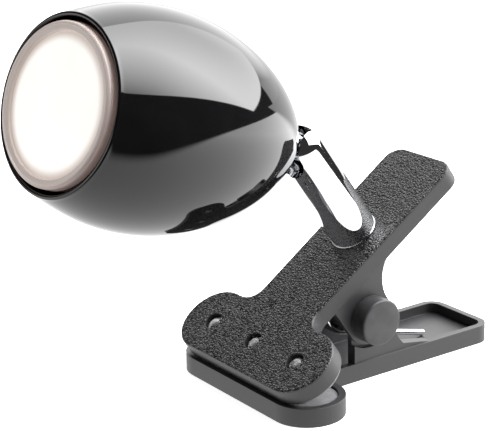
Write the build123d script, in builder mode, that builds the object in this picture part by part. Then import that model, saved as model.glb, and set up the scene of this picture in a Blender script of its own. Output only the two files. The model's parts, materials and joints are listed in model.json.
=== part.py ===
from build123d import *
import math
import os

os.makedirs("parts", exist_ok=True)

# Clip-on reading lamp, all sizes in millimetres, +Z up. The origin is on the flat underside of the
# lower jaw, straight below the clamp's pivot pin. The jaws point to -X and the handles to +X.

# ---------------------------------------------------------------- clamp: driving dimensions
pivot_x = 46.5              # pivot pin behind the jaw tip
pivot_z = 21.6              # pivot pin above the underside
jaw_length = 102.1
jaw_width = 73.8            # across the jaw's cross bar
bar_depth = 25.1
lobe_radius = 12.5
neck_width = 30.2           # handle where it meets the cross bar
tail_width = 31.6
corner_radius = 6.0         # neck fillets and tail corners
jaw_angle = 34.1            # upper jaw's slope when the clamp is closed
upper_tip_x = -1.5          # upper jaw's top front edge, from the lower jaw's tip
upper_tip_z = 11.6

rim_height = 6.4            # lower jaw, over all
rim_wall = 2.4
floor_thickness = 2.8
plate_thickness = 2.4       # upper jaw's top plate
skirt_depth = 6.2
skirt_wall = 2.2
edge_round = 0.7

cheek_outer = 14.9          # upper cheeks, half the distance over their outsides
cheek_inner = 13.2
lower_cheek_outer = 12.95
lower_cheek_inner = 11.0
lower_flank_outer = 14.7    # thicker foot of a lower cheek
boss_radius = 9.4
lower_boss_radius = 8.3
flank_clearance = 10.8      # round cut that lets the upper boss turn
cheek_front = -6.4          # front edge of a lower cheek, from the pivot
cheek_shoulder = -3.0       # where it turns up to the boss, below the pivot
cheek_knees = [(12.9, -10.5), (15.0, -13.0)]     # corners of its back edge
cheek_back = 27.0
cheek_root = 1.0            # how deep a cheek reaches into its jaw
upper_cheek_back = 18.2     # back of an upper cheek, behind the pivot along the jaw

stud_spacing = 23.1
stud_row = 12.1             # stud row behind the front edge
stud_hole_radius = 3.3
stud_radius = 2.6
stud_neck = 1.0             # straight part of an upper stud, above the plate's underside
lower_stud_gap = 0.4        # end of a lower stud above the underside
pad_gap = 0.1
pad_round = 0.4
pad_inset = 0.8
pad_proud = 1.2
lower_pad_top = 5.7

pin_radius = 2.5
pin_in_cap = 3.0            # the pin reaches this far past the upper cheeks
running_gap = 0.05
cap_radius = 8.0
cap_height = 6.6
cap_gap = 0.2
cap_round = 0.9
bush_gap = 0.2              # between the spring's bush and the lower cheeks
bush_clearance = 0.6        # between the bush and the coil

spring_wire = 2.2
spring_radius = 8.5         # to the middle of the wire
spring_pitch = 2.4
spring_turns = 4
spring_leg_y = -2.4         # the lower leg's plane
lower_leg_reach = 34.5      # end of the lower leg behind the pivot
upper_leg_reach = 82.0      # end of the upper leg, along the upper jaw
leg_overlap = 1.5           # a leg runs this far into the coil
leg_shrink = 0.03           # a leg is this much thinner than the coil, so that they join cleanly
hook_turn = 200             # part turn from the coil to the upper leg, in degrees
leg_gap = 0.05              # between the upper leg and the jaw's plate

# ---------------------------------------------------------------- stem: driving dimensions
stem_place = 64.2           # stem's axis behind the upper jaw's front edge
stem_radius = 8.1
stem_wall = 1.4
stem_floor = 3.0            # solid foot of the stem
stem_foot_chamfer = 0.4
stem_height = 46.6
stem_dome = 6.0
stem_gap = 0.1              # under the stem, where it turns on the jaw
spigot_radius = 5.0
spigot_clearance = 0.08
spigot_length = 10.0
spigot_bore = 3.3
slot_width = 10.6
slot_bottom = 39.4          # centre of the slot's round lower end, above the jaw
slot_back = 4.8             # how far the slot runs past the axis, away from the head
knuckle_height = 40.8       # tilt pin above the jaw
tilt_pin_radius = 1.5
pin_recess = 0.2            # ends of the tilt pin below the stem's surface
pin_chamfer = 0.3
washer_thickness = 0.8
stem_washer_radius = 9.0
plate_gap = 0.1             # between the jaw's plate and the washer
bush_flange = 2.0           # cord bush below the spigot's end
bush_reach = 5.0            # cord bush inside the spigot
bush_round = 0.8
nut_thickness = 4.0
nut_width = 14.0
cord_hole_radius = 2.2

# ---------------------------------------------------------------- head: driving dimensions
swivel_rest = 11.3          # the head is turned this far to the -Y side
tilt_rest = 37.9            # angle from the stem's axis to the head's axis
mouth = 99.9                # mouth plane, from the tilt pin along the head's axis
mouth_radius = 27.3
belly = 64.5                # widest place
belly_radius = 34.7
nose = 11.7                 # flat at the back of the shade
shade_wall = 1.5
bead_radius = 0.75
neck_radius = 5.0
neck_thread_radius = 4.0    # neck from the shade's nose to its end
neck_bore = 2.6
fork_gap = 4.0
collar_radius = 6.6
collar_length = 2.4
neck_end = 20.5
neck_nut_width = 13.0
neck_washer_radius = 7.2
neck_washer_thickness = 1.3

lamp_radius = 25.0          # standard 50 mm reflector lamp
lamp_front = 102.3
lens_radius = 21.4
lens_depth = 0.5            # lens behind the bezel's front
lens_round = 0.4
bezel_length = 3.2
bezel_round = 0.9
lamp_length = 54.0
pin_length = 7.0
lamp_pin_spacing = 10.0
lamp_base_radius = 12.5
holder_length = 16.0
holder_size = 27.0
holder_width = 17.0
holder_screw_radius = 1.25
strap_width = 11.0
strap_thickness = 1.0
strap_reach = 9.0
strap_bend = 1.2
foot_place = 5.4            # holder screws, from the head's axis
foot_end = 4.2              # end of a turned-in foot, from the head's axis
screw_head_radius = 2.2
screw_head = 1.8
screw_depth = 7.0           # holder screws in the lampholder

# ---------------------------------------------------------------- planes and axes
slope = math.radians(jaw_angle)
along_jaw = Vector(math.cos(slope), 0, math.sin(slope))
off_jaw = Vector(-math.sin(slope), 0, math.cos(slope))
tip_x = -pivot_x
lower_plane = Plane(origin=(tip_x, 0, 0))
upper_origin = Vector(tip_x + upper_tip_x, 0, upper_tip_z)
upper_plane = Plane(origin=upper_origin, x_dir=along_jaw, z_dir=off_jaw)

stem_foot = upper_origin + along_jaw * stem_place
turn = math.radians(swivel_rest)
head_side = along_jaw * -math.cos(turn) + Vector(0, -1, 0) * math.sin(turn)
stem_plane = Plane(origin=stem_foot, x_dir=head_side, z_dir=off_jaw)
stem_axis = Axis(stem_foot, off_jaw)

knuckle = stem_foot + off_jaw * knuckle_height
tilt = math.radians(tilt_rest)
head_dir = off_jaw * math.cos(tilt) + head_side * math.sin(tilt)
hinge_dir = off_jaw.cross(head_dir).normalized()
head_plane = Plane(origin=knuckle, x_dir=hinge_dir, z_dir=head_dir)
head_axis = Axis(knuckle, head_dir)
section = Plane(origin=knuckle, x_dir=head_dir, z_dir=hinge_dir)    # x along the head, y across
tilt_plane = Plane(origin=knuckle, x_dir=off_jaw, z_dir=hinge_dir)
slot_plane = Plane(origin=stem_foot, x_dir=hinge_dir, z_dir=head_side)   # y up the stem

pivot = Vector(0, 0, pivot_z)
side_plane = Plane(origin=pivot, x_dir=(1, 0, 0), z_dir=(0, -1, 0))  # x to the tail, y up
upper_side = Plane(origin=upper_origin, x_dir=along_jaw, z_dir=(0, -1, 0))
pivot_local = upper_plane.to_local_coords(pivot)                     # pivot seen from the upper jaw
boss_u = pivot_local.X
boss_v = pivot_local.Z


def both_sides(inner, outer, sketch):
    """Extrude a side outline between two distances, on the -Y side and on the +Y side."""
    extrude(sketch.moved(Location((0, -inner, 0))), amount=outer - inner, dir=(0, -1, 0))
    extrude(sketch.moved(Location((0, inner, 0))), amount=outer - inner, dir=(0, 1, 0))


# ---------------------------------------------------------------- outlines of the jaws
half_bar = jaw_width / 2
with BuildSketch() as jaw_outline:
    with BuildLine():
        Polyline(
            (0, -half_bar),
            (bar_depth, -half_bar),
            (bar_depth, -neck_width / 2),
            (jaw_length, -tail_width / 2),
            (jaw_length, tail_width / 2),
            (bar_depth, neck_width / 2),
            (bar_depth, half_bar),
            (0, half_bar),
            close=True,
        )
    make_face()
    lobes = [v for v in jaw_outline.vertices() if abs(v.Y) > neck_width]
    fillet(lobes, lobe_radius)
    corners = [v for v in jaw_outline.vertices() if abs(v.Y) < neck_width and v.X > bar_depth - 1]
    fillet([v for v in corners if abs(abs(v.Y) - lobe_radius) > 2], corner_radius)

with BuildSketch() as bar_outline:
    with Locations((bar_depth / 2, 0)):
        RectangleRounded(bar_depth, jaw_width, lobe_radius)

stud_places = [(stud_row, side * stud_spacing) for side in (-1, 0, 1)]

# ---------------------------------------------------------------- lower jaw
with BuildSketch(side_plane) as lower_cheek:
    Circle(lower_boss_radius)
    with BuildLine():
        Polyline(
            (cheek_front, floor_thickness - pivot_z - cheek_root),
            (cheek_front, cheek_shoulder),
            (0, 0),
            (lower_boss_radius, 0),
            *cheek_knees,
            (cheek_back, rim_height - pivot_z),
            (cheek_back, floor_thickness - pivot_z - cheek_root),
            close=True,
        )
    make_face()

with BuildSketch(side_plane) as lower_flank:
    with BuildLine():
        Polyline(
            (cheek_front, rim_height - pivot_z - cheek_root),
            (cheek_front, cheek_shoulder),
            (lower_boss_radius, 0),
            *cheek_knees,
            (cheek_back, rim_height - pivot_z),
            (cheek_back, rim_height - pivot_z - cheek_root),
            close=True,
        )
    make_face()
    Circle(flank_clearance, mode=Mode.SUBTRACT)

with BuildPart() as lower_jaw:
    with BuildSketch(lower_plane):
        add(jaw_outline.sketch)
    extrude(amount=rim_height)
    with BuildSketch(lower_plane.offset(floor_thickness)):
        offset(jaw_outline.sketch, amount=-rim_wall)
    extrude(amount=rim_height, mode=Mode.SUBTRACT)
    both_sides(lower_cheek_inner, lower_cheek_outer, lower_cheek.sketch)
    both_sides(lower_cheek_outer - 0.1, lower_flank_outer, lower_flank.sketch)
    with Locations(Location(pivot, (90, 0, 0))):
        Hole(pin_radius)
    with Locations(lower_plane):
        with Locations(*stud_places):
            Hole(stud_hole_radius)
lower_jaw.part.label = "lower_jaw"
export_step(lower_jaw.part, "parts/lower_jaw.step")

# ---------------------------------------------------------------- upper jaw
cheek_top = -1.5
cheek_end = boss_u + upper_cheek_back
with BuildSketch(upper_side) as upper_cheek:
    with BuildLine():
        front = Line((boss_u - boss_radius, cheek_top), (boss_u - boss_radius, boss_v))
        boss = RadiusArc(front @ 1, (boss_u + boss_radius, boss_v), boss_radius, short_sagitta=False)
        flare = TangentArc(boss @ 1, (cheek_end, -skirt_depth), tangent=(0, 1))
        back = Line(flare @ 1, (cheek_end, cheek_top))
        Line(back @ 1, front @ 0)
    make_face()

with BuildPart() as upper_jaw:
    with BuildSketch(upper_plane):
        add(jaw_outline.sketch)
    extrude(amount=-skirt_depth)
    top_face = upper_jaw.faces().sort_by(Axis(upper_origin, off_jaw))[-1]
    fillet(top_face.edges(), edge_round)
    with BuildSketch(upper_plane.offset(-plate_thickness)):
        offset(jaw_outline.sketch, amount=-skirt_wall)
    extrude(amount=-skirt_depth, mode=Mode.SUBTRACT)
    both_sides(cheek_inner, cheek_outer, upper_cheek.sketch)
    with Locations(Location(pivot, (90, 0, 0))):
        Hole(pin_radius + running_gap)
    with BuildSketch(upper_plane):
        with Locations(*stud_places):
            Circle(stud_hole_radius)
        with Locations((stem_place, 0)):
            Circle(spigot_radius + spigot_clearance)
    extrude(amount=-skirt_depth, mode=Mode.SUBTRACT)
upper_jaw.part.label = "upper_jaw"
export_step(upper_jaw.part, "parts/upper_jaw.step")

# ---------------------------------------------------------------- silicone pads
with BuildPart() as upper_pad:
    with BuildSketch(upper_plane.offset(-skirt_depth)):
        offset(bar_outline.sketch, amount=-pad_inset)
    extrude(amount=-pad_proud)
    with BuildSketch(upper_plane.offset(-plate_thickness)):
        offset(bar_outline.sketch, amount=-skirt_wall - pad_gap)
    extrude(amount=plate_thickness - skirt_depth)
    with BuildSketch(upper_plane.offset(-plate_thickness)):
        with Locations(*stud_places):
            Circle(stud_radius)
    extrude(amount=stud_neck)
    with Locations(upper_plane.offset(stud_neck - plate_thickness)):
        with Locations(*stud_places):
            Sphere(stud_radius, arc_size1=0)
upper_pad.part.label = "upper_pad"
export_step(upper_pad.part, "parts/upper_pad.step")

with BuildPart() as lower_pad:
    with BuildSketch(lower_plane.offset(floor_thickness)):
        offset(bar_outline.sketch, amount=-rim_wall - pad_gap)
    extrude(amount=lower_pad_top - floor_thickness)
    fillet(lower_pad.faces().sort_by(Axis.Z)[-1].edges(), pad_round)
    with BuildSketch(lower_plane.offset(floor_thickness)):
        with Locations(*stud_places):
            Circle(stud_radius)
    extrude(amount=lower_stud_gap - floor_thickness)
lower_pad.part.label = "lower_pad"
export_step(lower_pad.part, "parts/lower_pad.step")

# ---------------------------------------------------------------- pivot pin, caps and bush
pin_half = cheek_outer + pin_in_cap
with BuildPart() as pivot_pin:
    with BuildSketch(side_plane.offset(-pin_half)):
        Circle(pin_radius)
    extrude(amount=2 * pin_half)
pivot_pin.part.label = "pivot_pin"
export_step(pivot_pin.part, "parts/pivot_pin.step")

with BuildPart() as pivot_caps:
    with BuildSketch(side_plane.offset(cheek_outer + cap_gap)):
        Circle(cap_radius)
    extrude(amount=cap_height)
    fillet(pivot_caps.faces().sort_by(Axis.Y)[0].edges(), cap_round)
    with BuildSketch(side_plane.offset(cheek_outer + cap_gap)):
        Circle(pin_radius)
    extrude(amount=pin_half - cheek_outer - cap_gap, mode=Mode.SUBTRACT)
    mirror(about=Plane.XZ)
pivot_caps.part.label = "pivot_caps"
export_step(pivot_caps.part, "parts/pivot_caps.step")

with BuildPart() as spring_bush:
    with BuildSketch(side_plane.offset(bush_gap - lower_cheek_inner)):
        Circle(spring_radius - spring_wire / 2 - bush_clearance)
        Circle(pin_radius, mode=Mode.SUBTRACT)
    extrude(amount=2 * (lower_cheek_inner - bush_gap))
spring_bush.part.label = "spring_bush"
export_step(spring_bush.part, "parts/spring_bush.step")

# ---------------------------------------------------------------- clamp spring
def leg_points(end_x, end_z, side):
    """Where a straight leg that ends at a point leaves the coil, seen from the side."""
    far = math.hypot(end_x, end_z)
    bearing = math.atan2(end_z, end_x) + side * math.acos(spring_radius / far)
    return spring_radius * math.cos(bearing), spring_radius * math.sin(bearing), math.degrees(bearing)


leg_end_z = floor_thickness + spring_wire / 2 - pivot_z
leave_x, leave_z, leave_bearing = leg_points(lower_leg_reach, leg_end_z, -1)
leg_plane = side_plane.offset(-spring_leg_y)
leg_from = leg_plane.from_local_coords(Vector(leave_x, leave_z, 0))
leg_to = leg_plane.from_local_coords(Vector(lower_leg_reach, leg_end_z, 0))
leg_dir = (leg_to - leg_from).normalized()
coil_plane = Plane(origin=(0, spring_leg_y, pivot_z), x_dir=(leave_x, 0, leave_z), z_dir=(0, 1, 0))
coil = coil_plane * Helix(spring_pitch, spring_pitch * spring_turns, spring_radius)

with BuildPart() as clamp_spring:
    with BuildSketch(Plane(origin=coil @ 0, z_dir=coil % 0)):
        Circle(spring_wire / 2)
    sweep(path=coil, is_frenet=True)
    with BuildSketch(Plane(origin=leg_from - leg_dir * leg_overlap, z_dir=leg_dir)):
        Circle(spring_wire / 2 - leg_shrink)
    extrude(amount=(leg_to - leg_from).length + leg_overlap)
clamp_spring.part.label = "clamp_spring"
export_step(clamp_spring.part, "parts/clamp_spring.step")

# The upper end of the wire is a part turn beside the coil, and a leg under the upper jaw.
upper_leg_y = spring_leg_y + spring_pitch * (spring_turns + 1)
jaw_under = -plate_thickness - spring_wire / 2 - leg_gap
reach_u = upper_leg_reach - boss_u
reach_v = jaw_under - boss_v
top_u, top_v, top_bearing = leg_points(reach_u, reach_v, 1)
hook_plane = Plane(origin=(0, upper_leg_y, pivot_z), x_dir=along_jaw, z_dir=(0, -1, 0))
hook_from = hook_plane.from_local_coords(Vector(top_u, top_v, 0))
hook_to = hook_plane.from_local_coords(Vector(reach_u, reach_v, 0))
hook_dir = (hook_to - hook_from).normalized()

with BuildPart() as clamp_spring_leg:
    with BuildLine(hook_plane):
        hook = CenterArc((0, 0), spring_radius, top_bearing, hook_turn)
    with BuildSketch(Plane(origin=hook @ 0, z_dir=hook % 0)):
        Circle(spring_wire / 2)
    sweep(path=hook)
    with BuildSketch(Plane(origin=hook_from, z_dir=hook_dir)):
        Circle(spring_wire / 2)
    extrude(amount=(hook_to - hook_from).length)
clamp_spring_leg.part.label = "clamp_spring_leg"
export_step(clamp_spring_leg.part, "parts/clamp_spring_leg.step")

# ---------------------------------------------------------------- stem and its fixings
with BuildPart() as stem_hollow:
    with BuildSketch(stem_plane.offset(stem_floor)):
        Circle(stem_radius - stem_wall)
    extrude(amount=stem_height - stem_floor - stem_wall)
    fillet(stem_hollow.edges().sort_by(stem_axis)[-1], stem_dome - stem_wall)
    with BuildSketch(stem_plane.offset(stem_floor)):
        Circle(spigot_bore)
    extrude(amount=-spigot_length - stem_floor)

with BuildPart() as stem:
    with BuildSketch(stem_plane.offset(stem_gap)):
        Circle(stem_radius)
    extrude(amount=stem_height - stem_gap)
    fillet(stem.edges().sort_by(stem_axis)[-1], stem_dome)
    chamfer(stem.edges().sort_by(stem_axis)[0], stem_foot_chamfer)
    with BuildSketch(stem_plane.offset(stem_floor)):
        Circle(spigot_radius)
    extrude(amount=-spigot_length - stem_floor)
    add(stem_hollow.part, mode=Mode.SUBTRACT)
    with BuildSketch(slot_plane.offset(-slot_back)):
        with BuildLine():
            Polyline(
                (-slot_width / 2, slot_bottom),
                (-slot_width / 2, stem_height + 1),
                (slot_width / 2, stem_height + 1),
                (slot_width / 2, slot_bottom),
            )
            RadiusArc((slot_width / 2, slot_bottom), (-slot_width / 2, slot_bottom), slot_width / 2)
        make_face()
    extrude(amount=slot_back + stem_radius + 1, mode=Mode.SUBTRACT)
    with BuildSketch(tilt_plane.offset(-stem_radius)):
        Circle(tilt_pin_radius)
    extrude(amount=2 * stem_radius, mode=Mode.SUBTRACT)
stem.part.label = "stem"
export_step(stem.part, "parts/stem.step")

with BuildPart() as tilt_pin:
    with BuildSketch(tilt_plane.offset(pin_recess - stem_radius)):
        Circle(tilt_pin_radius)
    extrude(amount=2 * (stem_radius - pin_recess))
    chamfer(tilt_pin.edges(), pin_chamfer)
tilt_pin.part.label = "tilt_pin"
export_step(tilt_pin.part, "parts/tilt_pin.step")

under_plate = -plate_thickness - plate_gap
with BuildPart() as stem_washer:
    with BuildSketch(stem_plane.offset(under_plate)):
        Circle(stem_washer_radius)
        Circle(spigot_radius, mode=Mode.SUBTRACT)
    extrude(amount=-washer_thickness)
stem_washer.part.label = "stem_washer"
export_step(stem_washer.part, "parts/stem_washer.step")

with BuildPart() as stem_nut:
    with BuildSketch(stem_plane.offset(under_plate - washer_thickness)):
        RegularPolygon(nut_width / 2, 6, major_radius=False)
        Circle(spigot_radius, mode=Mode.SUBTRACT)
    extrude(amount=-nut_thickness)
stem_nut.part.label = "stem_nut"
export_step(stem_nut.part, "parts/stem_nut.step")

with BuildPart() as cord_bush:
    with BuildSketch(stem_plane.offset(-spigot_length)):
        Circle(spigot_radius + 0.6)
    extrude(amount=-bush_flange)
    fillet(cord_bush.edges().sort_by(stem_axis)[0], bush_round)
    with BuildSketch(stem_plane.offset(-spigot_length)):
        Circle(spigot_bore)
    extrude(amount=bush_reach)
    with BuildSketch(stem_plane.offset(-spigot_length - bush_flange)):
        Circle(cord_hole_radius)
    extrude(amount=bush_reach + bush_flange, mode=Mode.SUBTRACT)
cord_bush.part.label = "cord_bush"
export_step(cord_bush.part, "parts/cord_bush.step")

# ---------------------------------------------------------------- neck, fixed to the back of the shade
with BuildPart() as neck:
    with BuildSketch(head_plane):
        Circle(neck_radius)
    extrude(amount=nose)
    with BuildSketch(head_plane.offset(nose)):
        Circle(neck_thread_radius)
    extrude(amount=neck_end - nose)
    with Locations(knuckle):
        Sphere(neck_radius)
    with BuildSketch(head_plane.offset(nose - collar_length)):
        Circle(collar_radius)
    extrude(amount=collar_length)
    with BuildSketch(head_plane.offset(neck_radius + 0.5)):
        Circle(neck_bore)
    extrude(amount=neck_end, mode=Mode.SUBTRACT)
    with BuildSketch(head_plane.offset(-neck_radius)):
        Rectangle(fork_gap, 2 * neck_radius + 1)
    extrude(amount=2 * neck_radius + 1.5, mode=Mode.SUBTRACT)
    with BuildSketch(tilt_plane.offset(-stem_radius)):
        Circle(tilt_pin_radius + running_gap)
    extrude(amount=2 * stem_radius, mode=Mode.SUBTRACT)
neck.part.label = "neck"
export_step(neck.part, "parts/neck.step")

# ---------------------------------------------------------------- shade
shade_curve = [
    (mouth, mouth_radius),
    (84.9, 32.6),
    (belly, belly_radius),
    (49.9, 32.6),
    (37.9, 28.7),
    (27.9, 23.8),
    (19.9, 18.4),
    (15.6, 14.6),
    (12.6, 10.2),
]
wall_points = [0, 0.12, 0.3, 0.45, 0.58, 0.7, 0.82, 0.92, 1]     # where the inner wall follows the outer
nose_radius = 8.6
neck_hole = neck_thread_radius + 0.1
nose_inside = nose + shade_wall
with BuildPart() as shade:
    with BuildSketch(section):
        with BuildLine():
            outer = Spline(shade_curve)
            wall_line = Axis.Z.direction * shade_wall
            inner = Spline([outer @ t - (outer % t).cross(wall_line) for t in wall_points])
            Line(outer @ 0, inner @ 0)
            Polyline(
                outer @ 1,
                (nose, nose_radius),
                (nose, neck_hole),
                (nose_inside, neck_hole),
                (nose_inside, nose_radius - 0.3),
                inner @ 1,
            )
        make_face()
    revolve(axis=head_axis)
    with BuildSketch(section):
        with Locations((mouth, mouth_radius - bead_radius)):
            Circle(bead_radius)
    revolve(axis=head_axis)
shade.part.label = "shade"
export_step(shade.part, "parts/shade.step")

# ---------------------------------------------------------------- fixings behind the lampholder
washer_end = nose_inside + neck_washer_thickness
strap_end = washer_end + strap_thickness
with BuildPart() as neck_washer:
    with BuildSketch(head_plane.offset(nose_inside)):
        Circle(neck_washer_radius)
        Circle(neck_thread_radius, mode=Mode.SUBTRACT)
    extrude(amount=washer_end - nose_inside)
neck_washer.part.label = "neck_washer"
export_step(neck_washer.part, "parts/neck_washer.step")

with BuildPart() as neck_nut:
    with BuildSketch(head_plane.offset(strap_end)):
        RegularPolygon(neck_nut_width / 2, 6, major_radius=False)
        Circle(neck_thread_radius, mode=Mode.SUBTRACT)
    extrude(amount=nut_thickness)
neck_nut.part.label = "neck_nut"
export_step(neck_nut.part, "parts/neck_nut.step")

# The bracket is a strap bent to a U, with its open ends turned in under the lampholder.
holder_front = lamp_front - lamp_length + pin_length
holder_back = holder_front - holder_length
with BuildPart() as holder_bracket:
    with BuildSketch(section):
        with BuildLine():
            FilletPolyline(
                (holder_back - strap_thickness / 2, foot_end),
                (holder_back - strap_thickness / 2, strap_reach),
                (washer_end + strap_thickness / 2, strap_reach),
                (washer_end + strap_thickness / 2, -strap_reach),
                (holder_back - strap_thickness / 2, -strap_reach),
                (holder_back - strap_thickness / 2, -foot_end),
                radius=strap_bend,
            )
        trace(line_width=strap_thickness)
    extrude(amount=strap_width / 2, both=True)
    with BuildSketch(head_plane.offset(washer_end)):
        Circle(neck_thread_radius + 0.05)
    extrude(amount=strap_thickness, mode=Mode.SUBTRACT)
    with BuildSketch(head_plane.offset(holder_back - strap_thickness)):
        with Locations((0, foot_place), (0, -foot_place)):
            Circle(holder_screw_radius)
    extrude(amount=strap_thickness, mode=Mode.SUBTRACT)
holder_bracket.part.label = "holder_bracket"
export_step(holder_bracket.part, "parts/holder_bracket.step")

with BuildPart() as holder_screws:
    with BuildSketch(head_plane.offset(holder_back - strap_thickness)):
        with Locations((0, foot_place), (0, -foot_place)):
            Circle(screw_head_radius)
    extrude(amount=-screw_head)
    fillet(holder_screws.edges().group_by(head_axis)[0], 0.5)
    with BuildSketch(head_plane.offset(holder_back - strap_thickness)):
        with Locations((0, foot_place), (0, -foot_place)):
            Circle(holder_screw_radius)
    extrude(amount=strap_thickness + screw_depth)
holder_screws.part.label = "holder_screws"
export_step(holder_screws.part, "parts/holder_screws.step")

# ---------------------------------------------------------------- lampholder
pin_places = [(-lamp_pin_spacing / 2, 0), (lamp_pin_spacing / 2, 0)]
contact_radius = 2.9
with BuildPart() as lampholder:
    with BuildSketch(head_plane.offset(holder_back)):
        RectangleRounded(holder_size, holder_width, 5.0)
    extrude(amount=holder_length)
    fillet(lampholder.edges().group_by(head_axis)[-1], 1.2)
    with BuildSketch(head_plane.offset(holder_front)):
        with Locations(*pin_places):
            Circle(contact_radius)
    extrude(amount=-pin_length - 2.5, mode=Mode.SUBTRACT)
    with BuildSketch(head_plane.offset(holder_back)):
        with Locations((0, foot_place), (0, -foot_place)):
            Circle(holder_screw_radius)
        with Locations(*pin_places):
            Circle(1.1)
    extrude(amount=screw_depth, mode=Mode.SUBTRACT)
lampholder.part.label = "lampholder"
export_step(lampholder.part, "parts/lampholder.step")

with BuildPart() as holder_contacts:
    with BuildSketch(head_plane.offset(holder_front - pin_length - 2.4)):
        with Locations(*pin_places):
            Circle(contact_radius - 0.05)
    extrude(amount=5.0)
    with BuildSketch(head_plane.offset(holder_front - pin_length - 0.1)):
        with Locations(*pin_places):
            Circle(contact_radius - 0.35)
    extrude(amount=5.0, mode=Mode.SUBTRACT)
holder_contacts.part.label = "holder_contacts"
export_step(holder_contacts.part, "parts/holder_contacts.step")

# Two insulated leads from the neck's bore to the back of the lampholder.
lead_radius = 0.85
lead_plane = Plane(origin=knuckle, x_dir=head_dir, z_dir=section.y_dir)   # x along the head, y sideways
with BuildPart() as holder_leads:
    for side in (-1, 1):
        with BuildLine(lead_plane):
            lead = FilletPolyline(
                (neck_radius + 1.0, side * 1.2),
                (neck_end + 1.0, side * 1.2),
                (30.0, side * lamp_pin_spacing / 2),
                (holder_back + 4.0, side * lamp_pin_spacing / 2),
                radius=5.0,
            )
        with BuildSketch(Plane(origin=lead @ 0, z_dir=head_dir)):
            Circle(lead_radius)
        sweep(path=lead)
holder_leads.part.label = "holder_leads"
export_step(holder_leads.part, "parts/holder_leads.step")

# ---------------------------------------------------------------- reflector lamp
lamp_back = holder_front + 0.2
with BuildPart() as lamp_base:
    with BuildSketch(section):
        with BuildLine():
            Polyline(
                (lamp_back, 0),
                (lamp_back, lamp_base_radius - 1.0),
                (lamp_back + 1.0, lamp_base_radius),
                (lamp_back + 7.0, lamp_base_radius),
                (lamp_back + 9.0, lamp_base_radius + 1.5),
                (lamp_back + 12.0, lamp_base_radius + 1.5),
                (lamp_back + 12.0, lamp_base_radius - 0.5),
                (lamp_back + 1.8, lamp_base_radius - 1.8),
                (lamp_back + 1.8, 0),
                close=True,
            )
        make_face()
    revolve(axis=head_axis)
    with BuildSketch(head_plane.offset(lamp_back)):
        with Locations(*pin_places):
            Circle(1.5)
    extrude(amount=2.0, mode=Mode.SUBTRACT)
lamp_base.part.label = "lamp_base"
export_step(lamp_base.part, "parts/lamp_base.step")

with BuildPart() as lamp_pins:
    with BuildSketch(head_plane.offset(lamp_back + 3.0)):
        with Locations(*pin_places):
            Circle(1.5)
    extrude(amount=-pin_length - 3.0)
    with BuildSketch(head_plane.offset(lamp_back - pin_length + 2.6)):
        with Locations(*pin_places):
            Circle(2.4)
    extrude(amount=-2.6)
    fillet(lamp_pins.edges().group_by(head_axis)[0], 0.5)
lamp_pins.part.label = "lamp_pins"
export_step(lamp_pins.part, "parts/lamp_pins.step")

body_back = lamp_back + 12.0
body_front = lamp_front - bezel_length
shell = 1.4
body_radius = lamp_radius - 0.4
with BuildPart() as lamp_body:
    with BuildSketch(section):
        with BuildLine():
            heel = Polyline(
                (body_back, lamp_base_radius - 1.0),
                (body_back, lamp_base_radius + 1.5),
                (body_back + 2.0, lamp_base_radius + 2.5),
            )
            bowl = TangentArc(heel @ 1, (body_front - 7.5, body_radius), tangent=(1, 0.9))
            Polyline(
                bowl @ 1,
                (body_front, body_radius),
                (body_front, body_radius - shell),
                (body_front - 7.0, body_radius - shell),
                heel @ 0,
            )
        make_face()
    revolve(axis=head_axis)
lamp_body.part.label = "lamp_body"
export_step(lamp_body.part, "parts/lamp_body.step")

with BuildPart() as lamp_bezel:
    with BuildSketch(section) as lamp_bezel_section:
        with BuildLine():
            Polyline(
                (body_front, lens_radius),
                (lamp_front, lens_radius),
                (lamp_front, lamp_radius),
                (body_front, lamp_radius),
                close=True,
            )
        make_face()
        fillet(lamp_bezel_section.vertices().group_by(Axis.X)[-1], bezel_round)
    revolve(axis=head_axis)
lamp_bezel.part.label = "lamp_bezel"
export_step(lamp_bezel.part, "parts/lamp_bezel.step")

with BuildPart() as lamp_lens:
    with BuildSketch(head_plane.offset(body_front)):
        Circle(lens_radius)
    extrude(amount=bezel_length - lens_depth)
    fillet(lamp_lens.edges().sort_by(head_axis)[-1], lens_round)
lamp_lens.part.label = "lamp_lens"
export_step(lamp_lens.part, "parts/lamp_lens.step")

board_place = body_front - 7.0
board_radius = 17.5
board_thickness = 1.6
chip_size = (3.5, 2.8)
chip_height = 0.7
chip_ring = 10.5
with BuildPart() as led_board:
    with BuildSketch(head_plane.offset(board_place - board_thickness)):
        Circle(board_radius)
    extrude(amount=board_thickness)
led_board.part.label = "led_board"
export_step(led_board.part, "parts/led_board.step")

with BuildPart() as led_chips:
    with BuildSketch(head_plane.offset(board_place)):
        with PolarLocations(chip_ring, 8):
            Rectangle(*chip_size)
        Rectangle(*chip_size)
    extrude(amount=chip_height)
led_chips.part.label = "led_chips"
export_step(led_chips.part, "parts/led_chips.step")

with BuildPart() as driver_board:
    with BuildSketch(section):
        with Locations((body_back + 2.5, 0)):
            Rectangle(24.0, 16.0)
    extrude(amount=1.2)
driver_board.part.label = "driver_board"
export_step(driver_board.part, "parts/driver_board.step")

with BuildPart() as driver_capacitor:
    wire_start = section.from_local_coords(Vector(body_back - 6.0, 0, 5.4))
    with BuildSketch(Plane(origin=wire_start, z_dir=head_dir)):
        Circle(4.0)
    extrude(amount=12.0)
    fillet(driver_capacitor.edges().group_by(head_axis)[-1], 0.5)
driver_capacitor.part.label = "driver_capacitor"
export_step(driver_capacitor.part, "parts/driver_capacitor.step")
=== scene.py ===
"""The looks of a clip-on reading lamp: gloss shade, chrome stem, grained clamp and a lit reflector lamp."""

import bmesh
import bpy
import json
import math
import numpy as np
from mathutils import Matrix, Vector


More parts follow.
